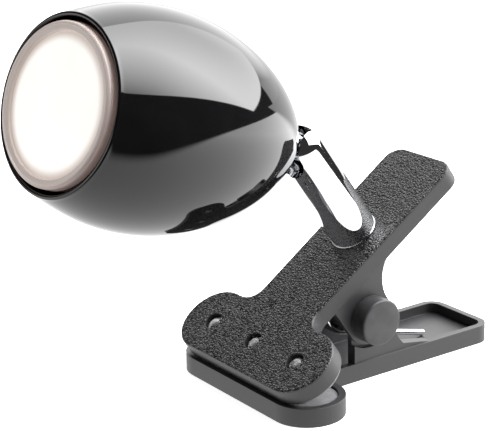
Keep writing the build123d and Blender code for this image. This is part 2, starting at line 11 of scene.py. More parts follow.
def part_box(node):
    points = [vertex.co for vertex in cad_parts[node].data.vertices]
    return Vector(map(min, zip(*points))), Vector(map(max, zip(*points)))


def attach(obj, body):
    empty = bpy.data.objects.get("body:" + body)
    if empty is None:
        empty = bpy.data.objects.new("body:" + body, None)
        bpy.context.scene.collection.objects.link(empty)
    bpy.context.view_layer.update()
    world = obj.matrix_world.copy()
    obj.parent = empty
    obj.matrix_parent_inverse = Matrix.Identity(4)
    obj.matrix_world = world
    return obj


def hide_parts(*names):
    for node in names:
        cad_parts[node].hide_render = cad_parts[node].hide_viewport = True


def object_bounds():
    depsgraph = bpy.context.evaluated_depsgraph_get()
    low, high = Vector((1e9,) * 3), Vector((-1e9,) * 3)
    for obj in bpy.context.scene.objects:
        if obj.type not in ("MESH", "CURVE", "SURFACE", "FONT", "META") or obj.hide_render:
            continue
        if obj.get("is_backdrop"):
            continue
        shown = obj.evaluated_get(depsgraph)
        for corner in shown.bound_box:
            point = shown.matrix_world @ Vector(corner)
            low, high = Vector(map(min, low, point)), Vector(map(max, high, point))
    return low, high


bl_info = {
    "name": "Clip-on reading lamp",
    "version": (1, 0, 0),
    "blender": (4, 5, 0),
    "location": "3D View > Sidebar > Lamp",
    "description": "Builds the visible pieces and finishes of a clip-on reading lamp on its packed frame",
    "category": "Object",
}

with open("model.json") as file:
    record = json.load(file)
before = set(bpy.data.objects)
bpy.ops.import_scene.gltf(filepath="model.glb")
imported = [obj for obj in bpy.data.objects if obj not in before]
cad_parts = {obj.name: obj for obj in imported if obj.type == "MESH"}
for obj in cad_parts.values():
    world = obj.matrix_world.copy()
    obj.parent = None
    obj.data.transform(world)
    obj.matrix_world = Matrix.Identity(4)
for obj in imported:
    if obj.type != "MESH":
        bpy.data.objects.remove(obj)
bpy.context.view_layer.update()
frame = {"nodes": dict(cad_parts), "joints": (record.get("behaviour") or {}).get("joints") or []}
MM = 0.001

JOINTS = {joint["name"]: joint for joint in frame["joints"]}
PIVOT = Vector(JOINTS["clamp_open"]["pos_m"])
STEM_FOOT = Vector(JOINTS["stem_swivel"]["pos_m"])
STEM_UP = Vector(JOINTS["stem_swivel"]["axis"]).normalized()
KNUCKLE = Vector(JOINTS["head_tilt"]["pos_m"])
HINGE = Vector(JOINTS["head_tilt"]["axis"]).normalized()


def middle(node):
    """The middle of a frame node's box."""
    low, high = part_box(node)
    return (low + high) / 2


HEAD_OUT = (middle("lamp_lens") - KNUCKLE).normalized()
HEAD_SIDE = (HEAD_OUT - STEM_UP * HEAD_OUT.dot(STEM_UP)).normalized()


def placed(origin, up, side):
    """A matrix whose z runs along up from origin, and whose x leans to side."""
    z = up.normalized()
    y = z.cross(side).normalized()
    x = y.cross(z)
    matrix = Matrix((x, y, z)).transposed().to_4x4()
    matrix.translation = origin
    return matrix


HEAD_PLACE = placed(KNUCKLE, HEAD_OUT, HINGE)
STEM_PLACE = placed(STEM_FOOT, STEM_UP, HEAD_SIDE)


# ------------------------------------------------------------------ settings a user would change
class LampStageSettings(bpy.types.PropertyGroup):
    """Floor, studio light and camera."""

    floor_colour: bpy.props.FloatVectorProperty(
        name="Floor colour", description="Colour of the plain floor", subtype="COLOR",
        size=3, default=(0.93, 0.93, 0.93))
    floor_size: bpy.props.FloatProperty(
        name="Floor size", description="Half the floor's side", unit="LENGTH", default=6.0)
    softbox: bpy.props.FloatProperty(
        name="Softbox", description="Brightness at the middle of the large softbox", default=10.9)
    lens: bpy.props.FloatProperty(
        name="Lens", description="Focal length in millimetres", default=124.2)
    camera_place: bpy.props.FloatVectorProperty(
        name="Camera place", description="Where the camera stands", subtype="TRANSLATION",
        size=3, default=(-0.3368, -0.4259, 0.22735))
    azimuth: bpy.props.FloatProperty(
        name="Azimuth", description="Side that the camera sees the lamp from", subtype="ANGLE",
        default=math.radians(-34.86))
    elevation: bpy.props.FloatProperty(
        name="Elevation", description="Camera's angle above the horizon", subtype="ANGLE",
        default=math.radians(17.64))
    roll: bpy.props.FloatProperty(
        name="Roll", description="Camera's turn about its own line of sight", subtype="ANGLE",
        default=math.radians(-1.52))


class LampShadeSettings(bpy.types.PropertyGroup):
    """The egg-shaped gloss shade."""

    colour: bpy.props.FloatVectorProperty(
        name="Shade colour", description="Lacquer colour", subtype="COLOR", size=3,
        default=(0.0045, 0.0043, 0.0048))
    wall: bpy.props.FloatProperty(
        name="Wall", description="Thickness of the shade's wall", unit="LENGTH", default=1.5 * MM)
    gloss: bpy.props.FloatProperty(
        name="Roughness", description="Roughness of the lacquer", min=0, max=1, default=0.035)
    density: bpy.props.FloatProperty(
        name="Refraction", description="Index of refraction of the lacquer", default=1.6)
    turns: bpy.props.IntProperty(
        name="Facets", description="Facets round the shade", default=224)


class LampFrontSettings(bpy.types.PropertyGroup):
    """Bezel and lit lens of the reflector lamp."""

    glow: bpy.props.FloatVectorProperty(
        name="Glow", description="Colour of the lit lens", subtype="COLOR", size=3,
        default=(1.0, 0.975, 0.93))
    strength: bpy.props.FloatProperty(
        name="Strength", description="Brightness of the lit lens", default=0.99)
    bezel: bpy.props.FloatVectorProperty(
        name="Bezel colour", description="Milky plastic of the bezel", subtype="COLOR", size=3,
        default=(0.5, 0.44, 0.41))


class LampStemSettings(bpy.types.PropertyGroup):
    """Slotted chrome stem and the neck in it."""

    radius: bpy.props.FloatProperty(
        name="Stem radius", description="Outside radius of the tube", unit="LENGTH", default=8.1 * MM)
    height: bpy.props.FloatProperty(
        name="Stem height", description="Height above the jaw", unit="LENGTH", default=46.6 * MM)
    wall: bpy.props.FloatProperty(
        name="Stem wall", description="Thickness of the tube", unit="LENGTH", default=1.4 * MM)
    dome: bpy.props.FloatProperty(
        name="Dome", description="Rounding of the closed top", unit="LENGTH", default=6.0 * MM)
    slot_width: bpy.props.FloatProperty(
        name="Slot width", description="Width of the slot for the neck", unit="LENGTH", default=10.6 * MM)
    slot_bottom: bpy.props.FloatProperty(
        name="Slot bottom", description="Centre of the slot's round lower end", unit="LENGTH",
        default=39.4 * MM)
    slot_back: bpy.props.FloatProperty(
        name="Slot back", description="How far the slot passes the stem's axis", unit="LENGTH",
        default=4.8 * MM)
    colour: bpy.props.FloatVectorProperty(
        name="Chrome colour", description="Tint of the chrome", subtype="COLOR", size=3,
        default=(0.79, 0.8, 0.82))


class LampClampSettings(bpy.types.PropertyGroup):
    """Moulded jaws, their pads, the pivot and its spring."""

    colour: bpy.props.FloatVectorProperty(
        name="Plastic colour", description="Colour of the moulded jaws", subtype="COLOR", size=3,
        default=(0.0062, 0.006, 0.0066))
    pebble: bpy.props.FloatProperty(
        name="Pebble", description="Size of a grain on the upper jaw", unit="LENGTH", default=1.05 * MM)
    fine: bpy.props.FloatProperty(
        name="Fine grain", description="Size of a grain on the jaws' sides", unit="LENGTH",
        default=0.42 * MM)
    cap_radius: bpy.props.FloatProperty(
        name="Cap radius", description="Radius of the pivot caps", unit="LENGTH", default=8.0 * MM)
    wire: bpy.props.FloatProperty(
        name="Wire", description="Diameter of the spring wire", unit="LENGTH", default=2.2 * MM)


SETTINGS = {
    "lamp_stage": LampStageSettings,
    "lamp_shade": LampShadeSettings,
    "lamp_front": LampFrontSettings,
    "lamp_stem": LampStemSettings,
    "lamp_clamp": LampClampSettings,
}


# ------------------------------------------------------------------ mesh helpers
def arc(centre, radius, start, end, steps):
    """Points (height, radius) on part of a circle; angles in degrees, 0 along the axis."""
    angles = [math.radians(start + (end - start) * i / steps) for i in range(steps + 1)]
    return [(centre[0] + radius * math.cos(a), centre[1] + radius * math.sin(a)) for a in angles]


def fair_curve(points, steps):
    """A natural cubic spline through points, as evenly spaced points and their outward normals."""
    knots = np.array(points, float)
    length = np.concatenate(([0.0], np.cumsum(np.linalg.norm(np.diff(knots, axis=0), axis=1))))
    gap = np.diff(length)
    size = len(knots)
    system = np.eye(size)
    right = np.zeros((size, 2))
    for i in range(1, size - 1):
        system[i, i - 1:i + 2] = gap[i - 1], 2 * (gap[i - 1] + gap[i]), gap[i]
        right[i] = 6 * ((knots[i + 1] - knots[i]) / gap[i] - (knots[i] - knots[i - 1]) / gap[i - 1])
    bend = np.linalg.solve(system, right)
    made, slopes = [], []
    for s in np.linspace(0, length[-1], steps + 1):
        i = min(int(np.searchsorted(length, s, side="right")) - 1, size - 2)
        a, b, h = length[i + 1] - s, s - length[i], gap[i]
        low = knots[i] / h - bend[i] * h / 6
        high = knots[i + 1] / h - bend[i + 1] * h / 6
        made.append((bend[i] * a ** 3 + bend[i + 1] * b ** 3) / (6 * h) + low * a + high * b)
        slopes.append((bend[i + 1] * b ** 2 - bend[i] * a ** 2) / (2 * h) - low + high)
    slopes = np.array(slopes)
    slopes /= np.linalg.norm(slopes, axis=1)[:, None]
    outward = np.stack((slopes[:, 1], -slopes[:, 0]), 1)
    outward *= np.where(outward[:, 1:] < 0, -1.0, 1.0)
    return np.array(made), outward


def turned_mesh(name, profile, turns, closed=True):
    """Spins a (height, radius) profile about z into a mesh; points on the axis become poles."""
    mesh = bmesh.new()
    rings = []
    for height, radius in profile:
        if radius < 1e-7:
            rings.append([mesh.verts.new((0, 0, height))])
            continue
        angles = [2 * math.pi * i / turns for i in range(turns)]
        rings.append([mesh.verts.new((radius * math.cos(a), radius * math.sin(a), height)) for a in angles])
    pairs = list(zip(rings, rings[1:]))
    if closed:
        pairs.append((rings[-1], rings[0]))
    for low, high in pairs:
        if len(low) == 1 and len(high) == 1:
            continue
        for i in range(turns):
            j = (i + 1) % turns
            corners = [low[i % len(low)], low[j % len(low)], high[j % len(high)], high[i % len(high)]]
            unique = list(dict.fromkeys(corners))
            mesh.faces.new(unique)
    bmesh.ops.recalc_face_normals(mesh, faces=mesh.faces)
    made = bpy.data.meshes.new(name)
    mesh.to_mesh(made)
    mesh.free()
    return made


def piece(name, mesh, place, body, nodes=(), sharp=32.0):
    """A mesh as a named piece that rides on a body and stands for frame nodes."""
    mesh.transform(place)
    if sharp is not None:
        mesh.polygons.foreach_set("use_smooth", [True] * len(mesh.polygons))
        mesh.set_sharp_from_angle(angle=math.radians(sharp))
    made = bpy.data.objects.new(name, mesh)
    bpy.context.scene.collection.objects.link(made)
    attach(made, body)
    if nodes:
        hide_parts(*nodes)
    return made


def wear(made, material):
    """Gives a piece or a frame node one material."""
    made.data.materials.clear()
    made.data.materials.append(material)
    return made


def cut_mesh(name, body_mesh, cutter_mesh):
    """The first mesh with the second cut out of it."""
    body = bpy.data.objects.new(name, body_mesh)
    cutter = bpy.data.objects.new(name + "_cutter", cutter_mesh)
    for o in (body, cutter):
        bpy.context.scene.collection.objects.link(o)
    boolean = body.modifiers.new("Slot", "BOOLEAN")
    boolean.operation = "DIFFERENCE"
    boolean.solver = "EXACT"
    boolean.object = cutter
    bpy.context.view_layer.update()
    graph = bpy.context.evaluated_depsgraph_get()
    made = bpy.data.meshes.new_from_object(body.evaluated_get(graph))
    made.name = name
    for o in (body, cutter):
        bpy.data.objects.remove(o)
    return made


def turned_normals(mesh, profile, agree=0.93):
    """Gives the turned faces of a cut mesh their true smooth normals, and leaves the cut faces flat."""
    line = np.array(profile, float)
    middles = (line + np.roll(line, -1, 0)) / 2
    steps = np.roll(line, -1, 0) - line
    lengths = np.linalg.norm(steps, axis=1)
    area = np.sum(line[:, 0] * np.roll(line[:, 1], -1) - np.roll(line[:, 0], -1) * line[:, 1])
    flat = np.stack((steps[:, 1], -steps[:, 0]), 1) / np.maximum(lengths, 1e-12)[:, None] * np.sign(area)
    before = np.roll(flat, 1, 0)
    corner = flat + before
    corner /= np.maximum(np.linalg.norm(corner, axis=1), 1e-9)[:, None]
    sharp = (flat * before).sum(1) < 0.8
    normals = [None] * len(mesh.loops)
    vertices = mesh.vertices
    for face in mesh.polygons:
        centre = face.center
        out = Vector((centre.x, centre.y, 0)).normalized()
        place = np.array((centre.z, math.hypot(centre.x, centre.y)))
        face_flat = np.array((face.normal.z, face.normal.dot(out)))
        fits = np.linalg.norm(middles - place, axis=1) + 0.004 * (1 - flat @ face_flat)
        near = int(np.argmin(fits))
        smooth = float(flat[near] @ face_flat) > agree and np.linalg.norm(face_flat) > 0.97
        after = (near + 1) % len(line)
        ends = (flat[near] if sharp[near] else corner[near], flat[near] if sharp[after] else corner[after])
        for loop in face.loop_indices:
            if not smooth:
                normals[loop] = face.normal[:]
                continue
            point = vertices[mesh.loops[loop].vertex_index].co
            along = np.array((point.z, math.hypot(point.x, point.y))) - line[near]
            share = min(1.0, max(0.0, float(along @ steps[near]) / max(lengths[near] ** 2, 1e-12)))
            turned = ends[0] * (1 - share) + ends[1] * share
            radial = Vector((point.x, point.y, 0)).normalized()
            normal = Vector((0, 0, 1)) * turned[0] + radial * turned[1]
            normals[loop] = normal.normalized()[:]
    mesh.polygons.foreach_set("use_smooth", [True] * len(mesh.polygons))
    mesh.normals_split_custom_set(normals)
    return mesh


def slot_cutter(name, width, bottom, back, top, reach, steps=48):
    """A long block with a round lower end, which cuts the slot. Its x runs to the open side."""
    half = width / 2
    outline = [(half, top), (-half, top)]
    for i in range(steps + 1):
        angle = math.pi + math.pi * i / steps
        outline.append((half * math.cos(angle), bottom + half * math.sin(angle)))
    mesh = bmesh.new()
    near = [mesh.verts.new((-back, y, z)) for y, z in outline]
    far = [mesh.verts.new((reach, y, z)) for y, z in outline]
    mesh.faces.new(near)
    mesh.faces.new(far[::-1])
    for i in range(len(outline)):
        j = (i + 1) % len(outline)
        mesh.faces.new((near[i], far[i], far[j], near[j]))
    bmesh.ops.recalc_face_normals(mesh, faces=mesh.faces)
    made = bpy.data.meshes.new(name)
    mesh.to_mesh(made)
    mesh.free()
    return made


# ------------------------------------------------------------------ shader helpers
def put(tree, made, values):
    """Fills a node's sockets, by name or number, with numbers or with links."""
    for key, value in values.items():
        socket = made.inputs[key]
        if isinstance(value, bpy.types.NodeSocket):
            tree.links.new(value, socket)
        elif hasattr(value, "__len__") and len(value) == 3 and socket.type == "RGBA":
            socket.default_value = (*value, 1.0)
        else:
            socket.default_value = value
    return made


def node(tree, kind, values=None, **settings):
    """One shader node with its settings and sockets filled in."""
    made = tree.nodes.new("ShaderNode" + kind)
    for key, value in settings.items():
        setattr(made, key, value)
    return put(tree, made, values or {})


def maths(tree, operation, *terms):
    """The result of one math node."""
    return node(tree, "Math", dict(enumerate(terms)), operation=operation).outputs[0]


def dot(tree, vector, direction):
    """How far a vector reaches along a direction."""
    made = node(tree, "VectorMath", {0: vector, 1: tuple(direction)}, operation="DOT_PRODUCT")
    return made.outputs["Value"]


def spread(tree, value, low, high, to_low=0.0, to_high=1.0, smooth=True):
    """Maps a range of values to another, held at its ends."""
    made = node(tree, "MapRange", {0: value, 1: low, 2: high, 3: to_low, 4: to_high})
    made.interpolation_type = "SMOOTHSTEP" if smooth else "LINEAR"
    return made.outputs[0]


def mix(tree, share, first, second):
    """Two colours mixed by a share."""
    return node(tree, "Mix", {0: share, 6: first, 7: second}, data_type="RGBA").outputs[2]


def blend(tree, share, first, second):
    """Two values mixed by a share."""
    return node(tree, "Mix", {0: share, 2: first, 3: second}, data_type="FLOAT").outputs[0]


def rest_point(tree):
    """The surface point in the part's own frame, which moves with its body."""
    return node(tree, "TexCoord").outputs["Object"]


def rest_normal(tree):
    """The surface normal in the part's own frame."""
    return node(tree, "TexCoord").outputs["Normal"]


def new_group(name, inputs, outputs):
    """An empty shader node group with named sockets, and its input and output nodes."""
    group = bpy.data.node_groups.new(name, "ShaderNodeTree")
    for label, kind, default in inputs:
        socket = group.interface.new_socket(name=label, in_out="INPUT", socket_type="NodeSocket" + kind)
        if default is not None:
            socket.default_value = default
    for label, kind in outputs:
        group.interface.new_socket(name=label, in_out="OUTPUT", socket_type="NodeSocket" + kind)
    return group, group.nodes.new("NodeGroupInput").outputs, group.nodes.new("NodeGroupOutput").inputs


def use_group(tree, name, values):
    """Places a node group in a material with its own values."""
    made = tree.nodes.new("ShaderNodeGroup")
    made.node_tree = EFFECTS[name]()
    return put(tree, made, values).outputs


def pebble_grain():
    """Moulded leather grain: rounded cells of mixed size with fine valleys between them."""
    known = bpy.data.node_groups.get("Pebble grain")
    if known:
        return known
    group, given, wanted = new_group(
        "Pebble grain",
        [("Point", "Vector", None), ("Cell", "Float", 0.001)],
        [("Height", "Float"), ("Crest", "Float")])
    scale = maths(group, "DIVIDE", 1.0, given["Cell"])
    broad = maths(group, "MULTIPLY", scale, 0.55)
    wander = node(group, "TexNoise", {"Vector": given["Point"], "Scale": broad, "Detail": 2.0})
    pushed = node(group, "VectorMath", {0: wander.outputs["Color"], 1: (0.5, 0.5, 0.5)}, operation="SUBTRACT")
    push = node(group, "VectorMath", {0: pushed.outputs[0]}, operation="SCALE")
    group.links.new(maths(group, "MULTIPLY", given["Cell"], 1.1), push.inputs["Scale"])
    place = node(group, "VectorMath", {0: given["Point"], 1: push.outputs[0]}, operation="ADD").outputs[0]
    cells = node(group, "TexVoronoi", {"Vector": place, "Scale": scale, "Randomness": 0.9},
                 feature="DISTANCE_TO_EDGE")
    small = node(group, "TexVoronoi", {"Vector": place, "Scale": maths(group, "MULTIPLY", scale, 2.1)},
                 feature="SMOOTH_F1")
    dome = spread(group, cells.outputs["Distance"], 0.0, 0.34)
    pips = spread(group, small.outputs["Distance"], 0.62, 0.08)
    height = maths(group, "MULTIPLY_ADD", pips, 0.35, dome)
    group.links.new(height, wanted["Height"])
    group.links.new(spread(group, height, 0.75, 1.25), wanted["Crest"])
    return group


def fine_grain():
    """Spark-eroded texture of a mould: a fine even stipple with a little larger mottle."""
    known = bpy.data.node_groups.get("Fine grain")
    if known:
        return known
    group, given, wanted = new_group(
        "Fine grain",
        [("Point", "Vector", None), ("Grain", "Float", 0.0004)],
        [("Height", "Float"), ("Mottle", "Float")])
    scale = maths(group, "DIVIDE", 1.0, given["Grain"])
    stipple = node(group, "TexNoise", {"Vector": given["Point"], "Scale": scale, "Detail": 3.0,
                                       "Roughness": 0.62})
    pits = maths(group, "MULTIPLY", scale, 0.8)
    cells = node(group, "TexVoronoi", {"Vector": given["Point"], "Scale": pits}, feature="SMOOTH_F1")
    wide = maths(group, "MULTIPLY", scale, 0.09)
    broad = node(group, "TexNoise", {"Vector": given["Point"], "Scale": wide, "Detail": 2.0})
    dips = maths(group, "MULTIPLY", cells.outputs["Distance"], 0.5)
    height = maths(group, "SUBTRACT", stipple.outputs["Fac"], dips)
    group.links.new(height, wanted["Height"])
    group.links.new(spread(group, broad.outputs["Fac"], 0.32, 0.68), wanted["Mottle"])
    return group


def handling_marks():
    """Faint smears and specks that change how rough a polished face is."""
    known = bpy.data.node_groups.get("Handling marks")
    if known:
        return known
    group, given, wanted = new_group(
        "Handling marks",
        [("Point", "Vector", None), ("Size", "Float", 0.01), ("Roughness", "Float", 0.1),
         ("Amount", "Float", 0.02)],
        [("Roughness", "Float"), ("Mask", "Float")])
    scale = maths(group, "DIVIDE", 1.0, given["Size"])
    point = given["Point"]
    smear = node(group, "TexNoise", {"Vector": point, "Scale": scale, "Detail": 4.0, "Distortion": 0.8})
    tiny = maths(group, "MULTIPLY", scale, 14.0)
    speck = node(group, "TexNoise", {"Vector": point, "Scale": tiny, "Detail": 1.0})
    mask = maths(group, "MULTIPLY_ADD", spread(group, speck.outputs["Fac"], 0.68, 0.8), 0.6,
                 spread(group, smear.outputs["Fac"], 0.42, 0.72))
    rough = maths(group, "MULTIPLY_ADD", mask, given["Amount"], given["Roughness"])
    group.links.new(rough, wanted["Roughness"])
    group.links.new(mask, wanted["Mask"])
    return group


def edge_wear():
    """Where a convex edge has been rubbed: stronger on sharp outer corners, broken up by noise."""
    known = bpy.data.node_groups.get("Edge wear")
    if known:
        return known
    group, given, wanted = new_group(
        "Edge wear",
        [("Point", "Vector", None), ("Size", "Float", 0.002), ("Start", "Float", 0.52)],
        [("Mask", "Float")])
    sharpness = node(group, "NewGeometry").outputs["Pointiness"]
    scale = maths(group, "DIVIDE", 1.0, given["Size"])
    broken = node(group, "TexNoise", {"Vector": given["Point"], "Scale": scale, "Detail": 3.0})
    ridge = maths(group, "DIVIDE", maths(group, "SUBTRACT", sharpness, given["Start"]), 0.06)
    mask = maths(group, "MULTIPLY", maths(group, "MINIMUM", maths(group, "MAXIMUM", ridge, 0.0), 1.0),
                 spread(group, broken.outputs["Fac"], 0.35, 0.6))
    group.links.new(mask, wanted["Mask"])
    return group


EFFECTS = {"pebble": pebble_grain, "fine": fine_grain, "marks": handling_marks, "wear": edge_wear}


def new_material(name):
    """A material with its node tree and Principled shader."""
    material = bpy.data.materials.new(name)
    material.use_nodes = True
    return material, material.node_tree, material.node_tree.nodes["Principled BSDF"]


def raised(tree, height, distance, strength=1.0, base=None):
    """A bump normal from a height."""
    values = {"Height": height, "Distance": distance, "Strength": strength}
    if base is not None:
        values["Normal"] = base
    return node(tree, "Bump", values).outputs[0]


def softened(tree, radius):
    """A normal that rounds over hard edges."""
    return node(tree, "Bevel", {"Radius": radius}, samples=6).outputs[0]


def moulded(name, colour, roughness, grain, depth, specular=0.5):
    """Plain moulded plastic with a fine mould texture, rubbed edges and a little mottle."""
    material, tree, shader = new_material(name)
    point = rest_point(tree)
    fine = use_group(tree, "fine", {"Point": point, "Grain": grain})
    worn = use_group(tree, "wear", {"Point": point})
    light = [min(1.0, c * 1.9 + 0.01) for c in colour]
    tone = mix(tree, maths(tree, "MULTIPLY", fine["Mottle"], 0.35), colour, light)
    put(tree, shader, {
        "Base Color": mix(tree, maths(tree, "MULTIPLY", worn["Mask"], 0.5), tone, light),
        "Roughness": maths(tree, "MULTIPLY_ADD", fine["Height"], 0.12, roughness),
        "Normal": raised(tree, fine["Height"], depth, base=softened(tree, 0.2 * MM)),
        "Specular IOR Level": specular,
    })
    return material


def polished(name, colour, roughness, smear=0.03, brushed=0.0):
    """Bright metal with faint smears, optionally with fine drawing lines."""
    material, tree, shader = new_material(name)
    point = rest_point(tree)
    marks = use_group(tree, "marks", {"Point": point, "Size": 12 * MM, "Roughness": roughness,
                                      "Amount": smear})
    dark = [c * 0.86 for c in colour]
    put(tree, shader, {
        "Base Color": mix(tree, maths(tree, "MULTIPLY", marks["Mask"], 0.3), colour, dark),
        "Metallic": 1.0,
        "Roughness": marks["Roughness"],
    })
    if brushed:
        lines = node(tree, "TexNoise", {"Vector": point, "Scale": 2400.0, "Detail": 2.0})
        put(tree, shader, {"Normal": raised(tree, lines.outputs["Fac"], brushed)})
    return material


# ------------------------------------------------------------------ finishes
def gloss_lacquer(settings):
    """Deep black gloss with hardly visible handling marks."""
    material, tree, shader = new_material("Gloss black lacquer")
    point = rest_point(tree)
    marks = use_group(tree, "marks", {"Point": point, "Size": 26 * MM, "Roughness": settings.gloss,
                                      "Amount": 0.018})
    peel = node(tree, "TexNoise", {"Vector": point, "Scale": 420.0, "Detail": 1.0})
    put(tree, shader, {
        "Base Color": mix(tree, maths(tree, "MULTIPLY", marks["Mask"], 0.12), tuple(settings.colour),
                          (0.02, 0.02, 0.021)),
        "Roughness": marks["Roughness"],
        "IOR": settings.density,
        "Normal": raised(tree, peel.outputs["Fac"], 0.004 * MM, 0.35),
    })
    return material


# Grey that the pebble crests on the upper jaw's top are lightened towards: a painted glint.
PAINTED_GLINT_COLOUR = (0.15, 0.148, 0.155)


def jaw_plastic(name, settings, upper):
    """Black moulded plastic of a jaw: a pebbled top, fine-grained sides and satin cheeks. A lighter painted
    sheen lies on the sides, and painted glints on the pebble crests.
    """
    material, tree, shader = new_material(name)
    point, facing = rest_point(tree), rest_normal(tree)
    pebble = use_group(tree, "pebble", {"Point": point, "Cell": settings.pebble})
    fine = use_group(tree, "fine", {"Point": point, "Grain": settings.fine})
    worn = use_group(tree, "wear", {"Point": point, "Size": 1.4 * MM})
    if upper:
        up = STEM_UP
        height = maths(tree, "SUBTRACT", dot(tree, point, STEM_UP), STEM_FOOT.dot(STEM_UP))
        top = spread(tree, dot(tree, facing, STEM_UP), 0.35, 0.8)
        skirt = spread(tree, height, -6.5 * MM, -6.2 * MM)
    else:
        up = (0, 0, 1)
        height = node(tree, "SeparateXYZ", {0: point}).outputs["Z"]
        top = 0.0
        skirt = spread(tree, height, 6.7 * MM, 6.35 * MM)
    outside = spread(tree, maths(tree, "ABSOLUTE", dot(tree, facing, up)), 0.75, 0.45)
    grained = maths(tree, "MULTIPLY", skirt, outside)
    cover = maths(tree, "MAXIMUM", top, grained)
    height_map = blend(tree, top, maths(tree, "MULTIPLY", fine["Height"], 0.24), pebble["Height"])
    bumps = maths(tree, "MULTIPLY", height_map, maths(tree, "MULTIPLY_ADD", cover, 0.94, 0.06))
    dark = tuple(settings.colour)
    pale = tuple(c * 2.6 + 0.006 for c in settings.colour)
    # The upper jaw's sides, and the whole lower jaw, get a lighter copy of the plastic's colour: a painted
    # sheen. The upper jaw's top keeps the plain colour.
    sides = tuple(c * 3.6 for c in settings.colour)
    base = mix(tree, top, sides, dark)
    tone = mix(tree, maths(tree, "MULTIPLY", fine["Mottle"], 0.3), base, pale)
    tone = mix(tree, maths(tree, "MULTIPLY", worn["Mask"], 0.45), tone, pale)
    # Pebble crests on the upper jaw's top are lightened towards a grey: painted glints.
    glint_share = maths(tree, "MULTIPLY", maths(tree, "MULTIPLY", pebble["Crest"], top), 0.38)
    put(tree, shader, {
        "Base Color": mix(tree, glint_share, tone, PAINTED_GLINT_COLOUR),
        "Roughness": blend(tree, top, blend(tree, grained, 0.42, 0.5), 0.26),
        "Normal": raised(tree, bumps, 0.14 * MM, base=softened(tree, 0.32 * MM)),
        "Specular IOR Level": blend(tree, top, 0.62, 0.5),
    })
    return material


def clear_silicone():
    """Soft clear silicone with a little haze."""
    material, tree, shader = new_material("Clear silicone")
    point = rest_point(tree)
    marks = use_group(tree, "marks", {"Point": point, "Size": 3 * MM, "Roughness": 0.1, "Amount": 0.1})
    ripple = node(tree, "TexNoise", {"Vector": point, "Scale": 500.0, "Detail": 1.5})
    put(tree, shader, {
        "Base Color": mix(tree, marks["Mask"], (0.5, 0.5, 0.51), (0.38, 0.38, 0.39)),
        "Roughness": marks["Roughness"],
        "IOR": 1.42,
        "Transmission Weight": 0.55,
        "Normal": raised(tree, ripple.outputs["Fac"], 0.08 * MM),
    })
    return material


def out_from_head(tree):
    """How far a surface point is from the head's axis."""
    ends = {0: rest_point(tree), 1: tuple(KNUCKLE)}
    offset = node(tree, "VectorMath", ends, operation="SUBTRACT").outputs[0]
    along = dot(tree, offset, HEAD_OUT)
    reach = node(tree, "VectorMath", {0: offset}, operation="LENGTH").outputs["Value"]
    squares = maths(tree, "MULTIPLY", reach, reach), maths(tree, "MULTIPLY", along, along)
    return maths(tree, "SQRT", maths(tree, "SUBTRACT", *squares))


def lit_lens(settings):
    """Opal lens lit from behind: white in the middle, warm and softly dimmer at its rim."""
    material, tree, shader = new_material("Lit opal lens")
    rim = spread(tree, out_from_head(tree), 18.0 * MM, 21.5 * MM)
    warm = tuple(a * b for a, b in zip(settings.glow, (0.52, 0.45, 0.42)))
    cloud = node(tree, "TexNoise", {"Vector": rest_point(tree), "Scale": 90.0, "Detail": 2.0}).outputs["Fac"]
    duller = tuple(c * 0.96 for c in settings.glow)
    core = mix(tree, spread(tree, cloud, 0.3, 0.7), tuple(settings.glow), duller)
    put(tree, shader, {
        "Base Color": (0.12, 0.11, 0.1),
        "Roughness": 0.32,
        "Emission Color": mix(tree, rim, core, warm),
        "Emission Strength": settings.strength,
    })
    return material


def milky_bezel(settings):
    """Milky plastic that carries some of the lens's light."""
    material, tree, shader = new_material("Milky bezel plastic")
    point = rest_point(tree)
    carried = spread(tree, out_from_head(tree), 23.2 * MM, 24.2 * MM)
    fine = use_group(tree, "fine", {"Point": point, "Grain": 0.8 * MM})
    marks = use_group(tree, "marks", {"Point": point, "Size": 6 * MM, "Roughness": 0.18, "Amount": 0.06})
    put(tree, shader, {
        "Base Color": mix(tree, maths(tree, "MULTIPLY", fine["Mottle"], 0.2), tuple(settings.bezel),
                          tuple(c * 0.8 for c in settings.bezel)),
        "Roughness": marks["Roughness"],
        "Emission Color": mix(tree, carried, (0.7, 0.6, 0.55), (0.27, 0.18, 0.16)),
        "Emission Strength": 0.35,
    })
    return material


def ceramic_white():
    """Glazed-off-white ceramic with a chalky tooth."""
    return moulded("Ceramic", (0.72, 0.7, 0.65), 0.5, 0.35 * MM, 0.02 * MM)


# ------------------------------------------------------------------ operators
def bearing(azimuth, elevation):
    """A unit direction; azimuth 0 points along -y and 90 along +x, in degrees."""
    a, e = math.radians(azimuth), math.radians(elevation)
    return Vector((math.sin(a) * math.cos(e), -math.cos(a) * math.cos(e), math.sin(e)))


def edge_between(first, second, inside):
    """The normal of the plane through two directions, turned to the side that holds a third."""
    normal = first.cross(second).normalized()
    return normal if normal.dot(inside) > 0 else -normal


